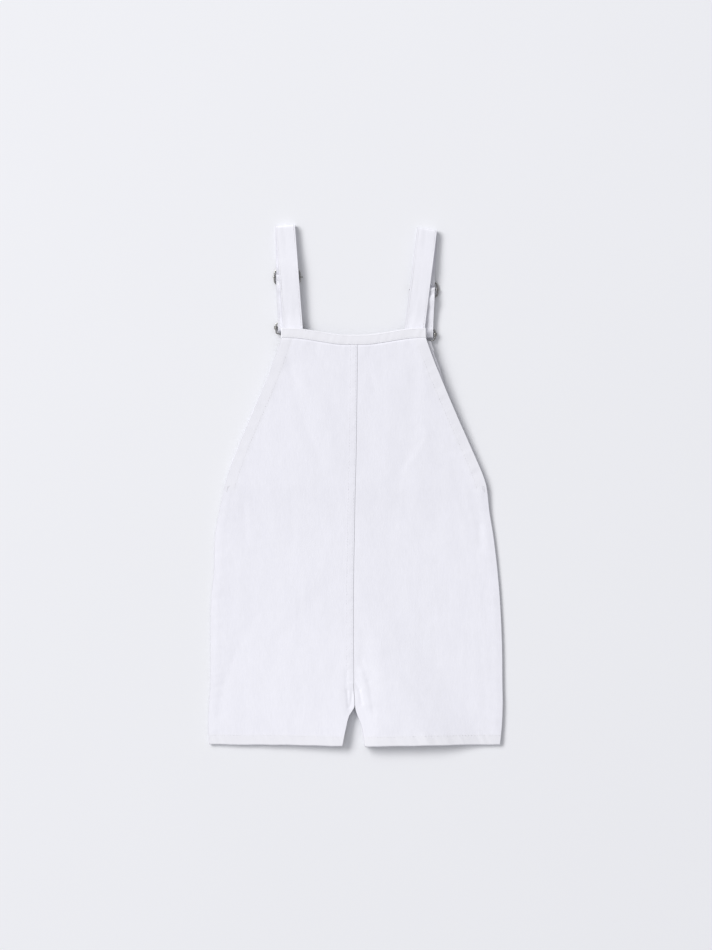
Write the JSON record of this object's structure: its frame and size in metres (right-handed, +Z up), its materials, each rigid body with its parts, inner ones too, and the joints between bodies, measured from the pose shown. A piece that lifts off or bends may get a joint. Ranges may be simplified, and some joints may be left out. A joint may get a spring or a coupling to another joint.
{
  "type": "denim dungarees",
  "caption": "Small child's white denim dungarees with short legs, laid out back side up, their shoulder straps folded over and fastened to the front bib underneath.",
  "frame": {"origin": "on the surface the garment lies on, under the middle of its box", "axes": "+X to the wearer's right arm as seen from the back, +Y from the leg hems to the shoulder folds, +Z up out of the back of the garment"},
  "size_m": [0.295, 0.5216, 0.0109],
  "materials": {
    "denim": "bleached white cotton denim, right-hand twill, soft and matt, puckered at its stitched edges",
    "strap_denim": "the same white denim folded into a flat strap and stitched along both edges",
    "nickel_wire": "bent steel wire, nickel plated, bright with dark reflections",
    "nickel_button": "pressed steel tack button, nickel plated"
  },
  "bodies": {
    "root": {"back_left": "denim", "back_right": "denim", "back_band": "denim", "front_left": "denim", "front_right": "denim", "front_band": "denim", "strap_left": "strap_denim", "strap_right": "strap_denim", "slider_left": "nickel_wire", "slider_right": "nickel_wire", "hook_left": "nickel_wire", "hook_right": "nickel_wire", "button_left": "nickel_button", "button_right": "nickel_button"}
  },
  "joints": []
}
